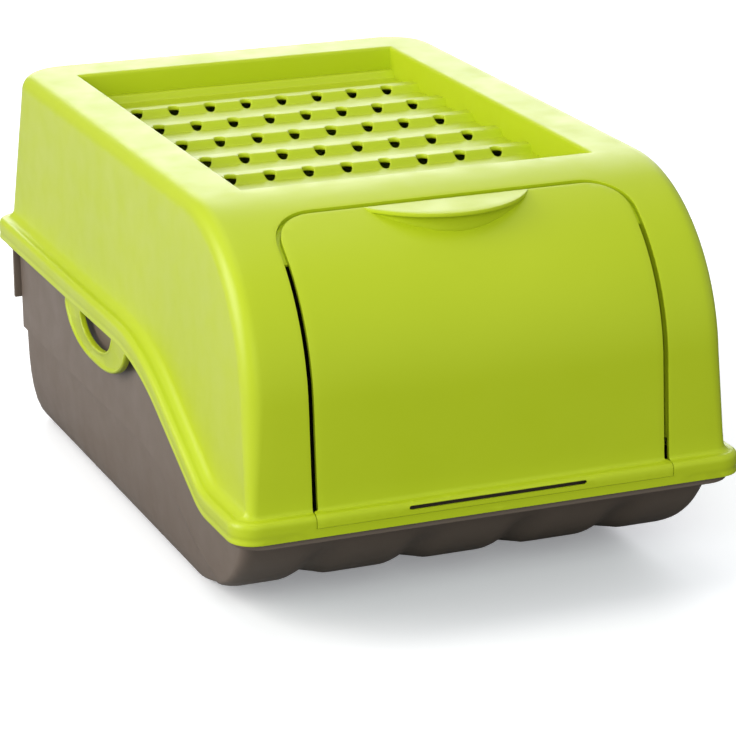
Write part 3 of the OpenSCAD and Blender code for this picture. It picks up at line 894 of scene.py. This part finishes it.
def on_flap(x, s, depth=0.0):
    """A point of the flap's skin; below the nose's lower corner it tucks under."""
    if s >= nose_low:
        return on_front(x, s, depth)
    a = tuck_start + (nose_low - s) / TUCK_R
    r = TUCK_R - depth
    return (x, FLAP_AXIS[0] + r * math.cos(a), FLAP_AXIS[1] + r * math.sin(a))


flap_rows = [nose_low - tuck_length * f for f in (1, 0.66, 0.33)]
flap_rows += [nose_low, NOSE_CREASE, 6.6, marks[1]] + nose_rows + hollow_rows + lean_rows
flap_rows += [s for s in brow_rows if s < brow_s(FLAP_TOP) - 1.5]
step_s = marks[2] + 1.0
flap_line = [(x, flap_rows[0]) for x in spaced(0, NOSE_HALF, 18)]
flap_line += [(NOSE_HALF, s) for s in flap_rows[1:] if s < step_s]
flap_line += [(NOSE_HALF, step_s), (NOSE_HALF - 0.5, step_s + 0.7), (NOSE_HALF - 1.2, step_s + 1.0),
              (FLAP_HALF + 0.4, step_s + 1.1), (FLAP_HALF, step_s + 1.7)]
top_s = brow_s(FLAP_TOP)
flap_line += [(FLAP_HALF, s) for s in flap_rows if step_s + 2.2 < s < top_s - FLAP_CORNER - 0.6]
flap_line += [(FLAP_HALF - FLAP_CORNER + FLAP_CORNER * math.cos(a),
               top_s - FLAP_CORNER + FLAP_CORNER * math.sin(a)) for a in spaced(0, math.pi / 2, 12)]
flap_line += [(x, top_s) for x in spaced(FLAP_HALF - FLAP_CORNER, 0, 12)[1:]]
SLOT_HALF, SLOT_LOW, SLOT_HIGH = 47.0, 7.05, 9.2
SLOT_BAND = 0.6


def slot_line(grow=0.0):
    """Right half of the slot's outline, from its top round to its bottom."""
    r = (SLOT_HIGH - SLOT_LOW) / 2
    middle = (SLOT_LOW + SLOT_HIGH) / 2
    line = [(x, SLOT_HIGH + grow) for x in spaced(0, SLOT_HALF - r, 12)]
    line += [(SLOT_HALF - r + (r + grow) * math.sin(a), middle + (r + grow) * math.cos(a))
             for a in spaced(0, math.pi, 8)[1:]]
    return line + [(x, SLOT_LOW - grow) for x in spaced(SLOT_HALF - r, 0, 12)[1:]]


flap_points, flap_faces = [], []
flap_spots = [(x, s) for s in flap_rows for x in spaced(0, 88, 14)]
middle_rows = [s for s in flap_rows if SLOT_HIGH + 1 < s < top_s - 1]
flap_line += [(0.0, s) for s in reversed(middle_rows)] + slot_line(SLOT_BAND)
flap_line += [(0.0, s) for s in (NOSE_CREASE, nose_low, flap_rows[2], flap_rows[1])]
nose_creases = [[(x, s) for x in spaced(0, NOSE_HALF, 28)] for s in (nose_low, NOSE_CREASE)]
fill(flap_points, flap_faces, flap_line, flap_spots, on_flap, 0.9, nose_creases)
strip(flap_points, flap_faces, [[on_flap(*p) for p in slot_line(g)] for g in (SLOT_BAND, 0.0)])


def by_slot(p):
    """True for a point of the nose on the slot's edge."""
    return (abs(p[0]) < SLOT_HALF + 0.7 and p[1] < -200
            and SLOT_LOW - 0.7 < p[2] - RIM_FRONT < SLOT_HIGH + 0.7)


def flap_edge(p):
    """Share of the rounding: the nose's lower corner and the slot keep crisp edges."""
    return 0.0 if p[2] < 67 or by_slot(p) else 1.0


panel = moulding("flap_panel", flap_points, flap_faces, WALL, 0.5, limit=40, soften=flap_edge,
                 thin=lambda p: 0.4 if by_slot(p) else 1.0)

# %% [markdown]
# The pull lip is a crescent that stands out level from the flap's top edge. Its upper side is
# flat, its edge is two millimetres thick, and underneath a hollow runs back down to the flap
# so that fingers find a hold.

# %% Pull lip and hinge pins
LIP_HALF = 44.0
LIP_REACH = 25.0
LIP_EDGE = 2.0
LIP_DROOP = 0.6
COVE = 4.6
lip_r = (LIP_HALF**2 + LIP_REACH**2) / (2 * LIP_REACH)
lip_centre = FLAP_TOP - LIP_REACH + lip_r
lip_z = on_front(0, top_s)[2]


def lip_section(x):
    """The lip cut at one x: top, edge, hollow underside and the part sunk in the flap."""
    edge_y = lip_centre - math.sqrt(lip_r**2 - x * x)
    reach = FLAP_TOP - edge_y
    under = COVE * min(1.0, reach / LIP_REACH * 1.15)
    foot = on_front(x, brow_s(edge_y + under))
    edge_z = lip_z - LIP_DROOP * (reach / LIP_REACH) ** 1.5
    low_z = min(edge_z - LIP_EDGE * min(1.0, reach / 3), edge_z - 0.02)
    drop = max(0.0, low_z - foot[2])
    out = [(x, FLAP_TOP - 0.25, lip_z)]
    out += [(x, FLAP_TOP - reach * f, lip_z + (edge_z - lip_z) * f**1.5) for f in (0.25, 0.5, 0.75)]
    soft = min(0.5, reach / 4, (edge_z - low_z) / 2.2)
    out += [(x, edge_y + soft, edge_z), (x, edge_y + soft * 0.3, edge_z - soft * 0.3),
            (x, edge_y, edge_z - soft), (x, edge_y, low_z + soft),
            (x, edge_y + soft * 0.3, low_z + soft * 0.3), (x, edge_y + soft, low_z)]
    width = max(0.0, under - soft)
    out += [(x, edge_y + soft + width * math.sin(a), low_z - drop * (1 - math.cos(a)))
            for a in spaced(0, math.pi / 2, 8)[1:]]
    ends = (edge_y + under, FLAP_TOP - 0.25)
    out += [on_front(x, brow_s(ends[0] + (ends[1] - ends[0]) * f), 1.2) for f in spaced(0, 1, 3)]
    return out


lip_points, lip_faces = [], []
lip_xs = [LIP_HALF * math.sin(a) for a in spaced(0, math.pi / 2, 26)][:-1] + [LIP_HALF - 0.05]
sections = [lip_section(x) for x in lip_xs]
sweep(lip_points, lip_faces, [[section[k] for section in sections] for k in range(len(sections[0]))])
lip = moulding("pull_lip", lip_points, lip_faces)
pins = [rod(name, (side * start, *FLAP_AXIS), (side * end, *FLAP_AXIS), r)
        for name, start, end, r in (("hinge_pin", 88.0, 97.6, 1.7), ("nose_end", 89.4, 93.9, 3.0))
        for side in (-1, 1)]
flap = join("flap_moulding", panel, lip, *pins)
finish_piece(flap, lime, "flap", "flap")

# %% [markdown]
# ## The clips
# Each clip is a flat D-shaped loop hung under the shelf. Its rims are raised: a broad bead
# outside, a finer one round the finger hole and a groove between. Both beads die away near
# the hinge, where the loop has to pass behind the skirt.

# %% The two clips
CLIP_FACE = 130.8
CLIP_BACK = 128.2
clip_profile = [(0.0, -2.0), (0.0, -0.6), (0.25, 0.25), (0.8, 0.8), (1.6, 1.0), (2.4, 0.8),
                (3.0, 0.35), (3.6, 0.0)]
hole_profile = [(2.8, 0.0), (2.2, 0.25), (1.5, 0.55), (0.8, 0.55), (0.25, 0.2), (0.0, -0.5),
                (0.0, -2.0)]


def loop_line(middle, length, drop, top):
    """A hanging D: a full curve below and a straight bar on top."""
    curve = []
    for a in spaced(0, math.pi, 48):
        c, n = math.cos(a), math.sin(a)
        curve.append(Vector((middle + length / 2 * math.copysign(abs(c) ** 0.87, c),
                             top - drop * max(0, n) ** 0.87)))
    bar = [Vector((middle - length / 2 + length * i / 24, top)) for i in range(1, 24)]
    return curve + bar


def clip(side):
    """One clip as a closed plate with raised rims, its pin and the two small catches."""
    outer = loop_line(middle=25.0, length=108.0, drop=29.0, top=CLIP_AXIS[1])
    inner = loop_line(middle=24.0, length=54.0, drop=16.0, top=RIM_BACK - 1)
    rows = []
    for run, start, end in ((clip_profile, outer, inner), (hole_profile, inner, outer)):
        for d, rise in run:
            row = []
            for a, b in zip(start, end):
                p = a + (b - a).normalized() * min(d, (b - a).length * 0.42)
                rise_here = rise * (1 - ease((p[1] - 103) / 5)) if rise > 0 else rise
                if rise <= -2:
                    rise_here = CLIP_BACK - CLIP_FACE + 0.4
                row.append((side * (CLIP_FACE + rise_here), p[0], p[1]))
            rows.append(row + row[:1])
    for start, end in ((inner, outer), (outer, inner)):
        row = [a + (b - a).normalized() * 0.4 for a, b in zip(start, end)]
        row = [(side * CLIP_BACK, p[0], p[1]) for p in row]
        rows.append(row + row[:1])
    points, faces = [], []
    strip(points, faces, rows + rows[:1])
    plate = moulding("clip_plate", points, faces, mirror=False, centre=(side * 129.5, 25, 98), sharp=50)
    pin = rod("clip_pin", (side * CLIP_AXIS[0], CLIP_ENDS[0] - 3, CLIP_AXIS[1]),
              (side * CLIP_AXIS[0], CLIP_ENDS[1] + 3, CLIP_AXIS[1]), 1.6)
    catches = [rod("catch", (side * 128.6, y - 4, 104), (side * 128.6, y + 4, 104), 0.85)
               for y in (24 - 35, 24 + 35)]
    return plate, pin, *catches


for side, body in ((-1, "clip_left"), (1, "clip_right")):
    loop = join(body + "_loop", *clip(side))
    finish_piece(loop, lime, body, body)

# %% [markdown]
# ## The tub
# The tub's floor climbs gently to the front and then curls up to the rim, which lets the
# potatoes roll to the doorway. It is drawn as rings round the bin, one height at a time.
# Every column of a ring finds the heights where it meets the band's crease and the flange,
# because both follow the sloping rim. Four shallow channels run under the floor and up the
# curl. Outer skin, rim and inner skin make one closed mesh.

# %% Shape of the tub's walls
FLOOR_FRONT = -87.0
RAMP = math.radians(18)
CURL_R = 80.0
CURL_Y = -115.3
CURL_Z = 93.1
CURL_END = math.radians(62)
curl_low = CURL_Z - CURL_R * math.cos(RAMP)
curl_high = CURL_Z - CURL_R * math.cos(CURL_END)
FRONT_HEAD = -190.0
HEAD_Z = RIM_BACK + 20
BAND_DROP = 54.0
CREASE = 0.9
CHANNEL_XS = (27.0, 81.0)
CHANNEL_HALF = 14.0
CHANNEL_DEEP = 3.6


def between(z, table):
    """Value at a height, read in straight steps from a table of (height, value)."""
    if z <= table[0][0]:
        return table[0][1]
    for (za, a), (zb, b) in zip(table, table[1:]):
        if z <= zb:
            return a + (b - a) * (z - za) / (zb - za)
    return table[-1][1]


foot_half = [(0, 105), (0.7, 108), (1.8, 110.8), (3, 112.6), (5, 114.7)]
upper_half = foot_half + [(8, 117.0), (12, 119.2), (17, 121.0), (25, 122.6), (38, 123.8), (55, 124.5),
                          (130.5, 125.0)]
lower_half = foot_half + [(8, 116.7), (12, 118.4), (17, 119.6), (25, 120.7), (38, 121.7), (55, 122.2),
                          (130.5, 122.5)]
back_line = [(0, 186), (1, 188), (3, 189.6), (8, 190.5), (130.5, 192)]


def front_y(z):
    """Where the tub's front lies at a height: ramp, curl, then a nearly upright wall."""
    if z <= curl_low:
        return FLOOR_FRONT - z / math.tan(RAMP)
    if z <= curl_high:
        return CURL_Y - math.sqrt(CURL_R**2 - (CURL_Z - z) ** 2)
    low = CURL_Y - CURL_R * math.sin(CURL_END)
    return low + (FRONT_HEAD - low) * (z - curl_high) / (HEAD_Z - curl_high)


def front_turn(z):
    """Slope of the tub's front at a height, from level to upright."""
    if z <= curl_low:
        return RAMP
    if z <= curl_high:
        return math.acos((CURL_Z - z) / CURL_R)
    return CURL_END


def ring_place(column, half, front, back, r):
    """One column's place on a rounded rectangle; 0 to 4 are front, corner, side, corner and back."""
    part, f = column
    if part == 0:
        return Vector(((half - r) * f, front))
    if part == 2:
        return Vector((half, front + r + (back - front - 2 * r) * f))
    if part in (1, 3):
        a = math.pi / 2 * (f - 1 if part == 1 else f)
        middle = front + r if part == 1 else back - r
        return Vector((half - r + r * math.cos(a), middle + r * math.sin(a)))
    return Vector(((half - r) * (1 - f), back))


FLANGE = dict(half=131.8, front=-199.8, back=199.8, r=15.0)
LIP = dict(half=122.7, front=-190.0, back=189.5, r=8.0)
run = FLANGE["back"] - FLANGE["front"] - 2 * FLANGE["r"]
notch = (-35.6, 85.6)
side_ys = spaced(-184.8, -150, 8) + spaced(-150, -90, 12)[1:] + spaced(-90, -40, 8)[1:]
side_ys += [-36.6, -36.2, -35.6, -35.0, -34.6] + spaced(-25, 75, 8)
side_ys += [84.6, 85.0, 85.6, 86.2, 86.6] + spaced(95, 184.8, 8)
columns = [(0, f) for f in spaced(0, 1, 46)]
columns += [(1, f) for f in spaced(0, 1, 8)[1:]]
columns += [(2, (y - side_ys[0]) / run) for y in side_ys[1:-1]]
columns += [(3, f) for f in spaced(0, 1, 8)]
columns += [(4, f) for f in spaced(0, 1, 46)[1:]]
print(len(columns), "columns round half the tub")


def groove(x):
    """Depth of the channels under the floor at a distance from the middle."""
    for c in CHANNEL_XS:
        t = abs(abs(x) - c) / CHANNEL_HALF
        if t < 1:
            return CHANNEL_DEEP * (1 + math.cos(math.pi * t)) / 2
    return 0.0


def body_point(column, z, table, inset):
    """A point of the tub's wall at a height above the floor, drawn in by the wall."""
    r = 7.0 + 5.0 * ease(1 - z / 30) - inset
    spot = ring_place(column, between(z, table) - inset, front_y(z) + inset,
                      between(z, back_line) - inset, r)
    lift = z + inset
    deep = groove(spot[0]) if column[0] in (0, 4) else 0.0
    if column[0] == 0:
        turn_here = front_turn(z)
        fade = 1 - ease((z - 34) / 20)
        return (spot[0], spot[1] + deep * fade * math.sin(turn_here),
                lift + deep * fade * math.cos(turn_here))
    if column[0] == 4:
        return (spot[0], spot[1], lift + deep * (1 - ease(z / 9)))
    return (spot[0], spot[1], lift)


def meet(column, table, inset, dz):
    """Height at which a column of the wall reaches the rim line moved by dz."""
    low, high = 0.0, 130.0
    for _ in range(40):
        z = (low + high) / 2
        p = body_point(column, z, table, inset)
        if z + inset > rim_z(p[1]) + dz:
            high = z
        else:
            low = z
    return low


low_heights = [0, 0.35, 0.9, 1.8, 3.2, 5.2, 8]
low_shares = [0.12, 0.28, 0.46, 0.64, 0.82, 1.0]
high_shares = [0.04, 0.09] + spaced(0.14, 0.86, 12) + [0.93, 1.0]


def wall_column(column, inset):
    """All points of one column of the wall, from the floor's edge up to the flange."""
    crease = max(low_heights[-1], meet(column, lower_half, inset, -BAND_DROP + inset))
    top = meet(column, upper_half, inset, -4.0 if inset == 0 else -3.9)
    points = [body_point(column, z, lower_half, inset) for z in low_heights]
    climb = crease - CREASE - low_heights[-1] if crease > 9 else 0.0
    points += [body_point(column, low_heights[-1] + climb * f, lower_half, inset) for f in low_shares]
    halfway = [(z, (a + b) / 2) for (z, a), (_, b) in zip(lower_half, upper_half)]
    points.append(body_point(column, crease + CREASE / 3, halfway, inset))
    start = crease + CREASE
    points += [body_point(column, start + (top - start) * f, upper_half, inset)
               for f in [0] + high_shares]
    return points


def rounded(path, radii):
    """Rounds the corners of a flat path, each with its own radius."""
    line = [path[0]]
    for a, b, c, r in zip(path, path[1:], path[2:], radii):
        a, b, c = Vector(a), Vector(b), Vector(c)
        start, end = b + (a - b).normalized() * r, b + (c - b).normalized() * r
        for t in (0, 0.25, 0.5, 0.75, 1):
            line.append(tuple(start * (1 - t) ** 2 + b * 2 * t * (1 - t) + end * t * t))
    return line + [path[-1]]


RIM_REACH = 10.8
NOTCH_REACH = 4.9
rim_path = rounded([(WALL, -4.0), (RIM_REACH, -4.0), (RIM_REACH, -1.0), (0.0, -1.0), (0.0, 7.0),
                    (-WALL, 7.0), (-WALL, -3.9)], [0.7, 0.7, 0.9, 0.9, 0.9])


def rim_column(column):
    """One column of the rim: under the flange, round it and over the upright lip."""
    near = ring_place(column, **LIP)
    far = ring_place(column, **FLANGE)
    points = []
    for d, dz in rim_path:
        share = d / RIM_REACH
        if column[0] == 2 and share > 0:
            y = near.lerp(far, share)[1]
            cut = ease((far[1] - notch[0] + 1) / 2) * ease((notch[1] + 1 - far[1]) / 2)
            share = min(share, 1 - cut * (1 - NOTCH_REACH / RIM_REACH))
        p = near.lerp(far, share)
        points.append((p[0], p[1], rim_z(p[1]) + dz))
    return points


tub_columns = [wall_column(column, 0.0) + rim_column(column) + wall_column(column, WALL)[::-1]
               for column in columns]


def on_floor(x, y, ring, depth):
    """A point of the tub's floor, which meets the ring of wall points round its edge."""
    near = min(ring, key=lambda p: (p[0] - x) ** 2 + (p[1] - y) ** 2)
    at_edge = math.hypot(near[0] - x, near[1] - y) < 0.01
    return tuple(near) if at_edge else (x, y, groove(x) + depth)


tub_points, tub_faces = [], []
strip(tub_points, tub_faces, [list(row) for row in zip(*tub_columns)])
spots = [((105 - WALL) * f, y) for f in spaced(0, 1, 46) for y in spaced(-80, 180, 20)]
for k, depth in ((0, 0.0), (-1, WALL)):
    ring = [c[k] for c in tub_columns]
    first = len(tub_faces)
    fill(tub_points, tub_faces, [(p[0], p[1]) for p in ring], spots,
         lambda x, y: on_floor(x, y, ring, depth), 1.2)
    if k == -1:
        tub_faces[first:] = [tuple(reversed(f)) for f in tub_faces[first:]]
tub_shell = moulding("tub_shell", tub_points, tub_faces, centre=(0, 0, 60), sharp=38)
webs = [block("rear_web", (side * 124.5 - 3.4, 188.0, 74.5), (side * 124.5 + 3.4, 190.4, 106.8))
        for side in (-1, 1)]
tub = join("tub_moulding", tub_shell, *webs)
finish_piece(tub, taupe, "tub", "tub")

# %% [markdown]
# ## The picture
# The bin stands on a white sheet in a bright room, with large soft lamps on the left, in
# front and behind. The sheet shows white to the camera but still takes the bin's shadow. In
# highlights it is bright on the left and dark in front, which gives the side walls their pale
# sheen and leaves the flap's colour full. The camera was solved from the bin's own straight
# edges.

# %% Floor, light and camera
sheet_mesh = bpy.data.meshes.new("floor_sheet")
sheet_mesh.from_pydata([(-4, -4, 0), (4, -4, 0), (4, 4, 0), (-4, 4, 0)], [], [(0, 1, 2, 3)])
sheet = put("floor_sheet", sheet_mesh)


def by_ray(tree, seen, mirrored, unseen, target):
    """Feeds a socket one colour for the camera's rays, one for glossy rays and one for the rest."""
    rays = add(tree, "ShaderNodeLightPath").outputs
    last = unseen
    for ray, colour in (("Is Glossy Ray", mirrored), ("Is Camera Ray", seen)):
        feeds = (("Factor", rays[ray]), ("A", last), ("B", colour))
        last = add(tree, "ShaderNodeMix", feeds, data_type="RGBA").outputs["Result"]
    tree.links.new(last, target)


paper = bpy.data.materials.new("white_sheet")
paper.use_nodes = True
cloth = paper.node_tree.nodes["Principled BSDF"].inputs
for label, value in (("Roughness", 1.0), ("Specular IOR Level", 0.0), ("Emission Strength", 1.0)):
    cloth[label].default_value = value
place = add(paper.node_tree, "ShaderNodeTexCoord")
axes = add(paper.node_tree, "ShaderNodeSeparateXYZ", [("Vector", place.outputs["Object"])])
# Painted reflection: what glossy rays see of the sheet runs from bright on the left to dark right of the
# middle, which paints the pale sheen on the side walls and keeps it off the flap; to all other rays but
# the camera's the sheet is dark grey.
fade = add(paper.node_tree, "ShaderNodeMapRange", (
    ("From Min", -0.45), ("From Max", 0.05), ("To Min", 0.95), ("To Max", 0.12),
    ("Value", axes.outputs["X"])))
BLACK = (0.0, 0.0, 0.0, 1.0)
by_ray(paper.node_tree, seen=(0.98, 0.985, 1.0, 1.0), mirrored=fade.outputs["Result"],
       unseen=(0.10, 0.10, 0.10, 1.0), target=cloth["Base Color"])
by_ray(paper.node_tree, seen=(0.19, 0.19, 0.20, 1.0), mirrored=BLACK, unseen=BLACK,
       target=cloth["Emission Color"])
sheet_mesh.materials.append(paper)

world = bpy.data.worlds.new("bright_room")
world.use_nodes = True
by_ray(world.node_tree, seen=(1.0, 1.0, 1.0, 1.0), mirrored=(0.42, 0.42, 0.43, 1.0),
       unseen=(0.46, 0.46, 0.48, 1.0), target=world.node_tree.nodes["Background"].inputs["Color"])
bpy.context.scene.world = world


def lamp(name, place, target, size, power, colour=(1.0, 1.0, 1.0), shiny=True):
    """A soft square lamp aimed at a point; a lamp that isn't shiny makes no highlights."""
    light = bpy.data.lights.new(name, "AREA")
    light.size = size
    light.energy = power
    light.color = colour
    piece = put(name, light)
    piece.location = place
    aim = Vector(target) - Vector(place)
    piece.rotation_euler = aim.to_track_quat("-Z", "Y").to_euler()
    piece.visible_glossy = shiny


WARM = (1.0, 0.97, 0.92)
GREENISH = (0.93, 1.0, 0.94)
lamp("overhead", (-0.1, 0.1, 1.6), (0, 0, 0.1), size=1.2, power=4, colour=WARM)
lamp("left", (-1.7, 0.1, 0.9), (0, 0, 0.12), size=1.2, power=28, colour=WARM)
lamp("front", (-0.6, -1.8, 0.9), (0, 0, 0.1), size=1.2, power=25, colour=GREENISH, shiny=False)
lamp("back_wall", (0.9, 2.2, 1.0), (0, 0, 0.2), size=2.0, power=36)

right = Vector((0.926, -0.378, -0.003)).normalized()
look = Vector((0.3585, 0.879, -0.314)).normalized()
up = right.cross(look).normalized()
camera = put("camera", bpy.data.cameras.new("camera"))
camera_place = (-0.6044, -1.5188, 0.6135)
turned = [(right[k], up[k], -look[k], camera_place[k]) for k in range(3)]
camera.matrix_world = Matrix((*turned, (0, 0, 0, 1)))
SENSOR = 36.0
FOCAL_PIXELS = 3200
PICTURE_PIXELS = 736
camera.data.sensor_width = SENSOR
camera.data.lens = SENSOR * FOCAL_PIXELS / PICTURE_PIXELS
bpy.context.scene.camera = camera
bpy.context.scene.view_settings.view_transform = "Standard"
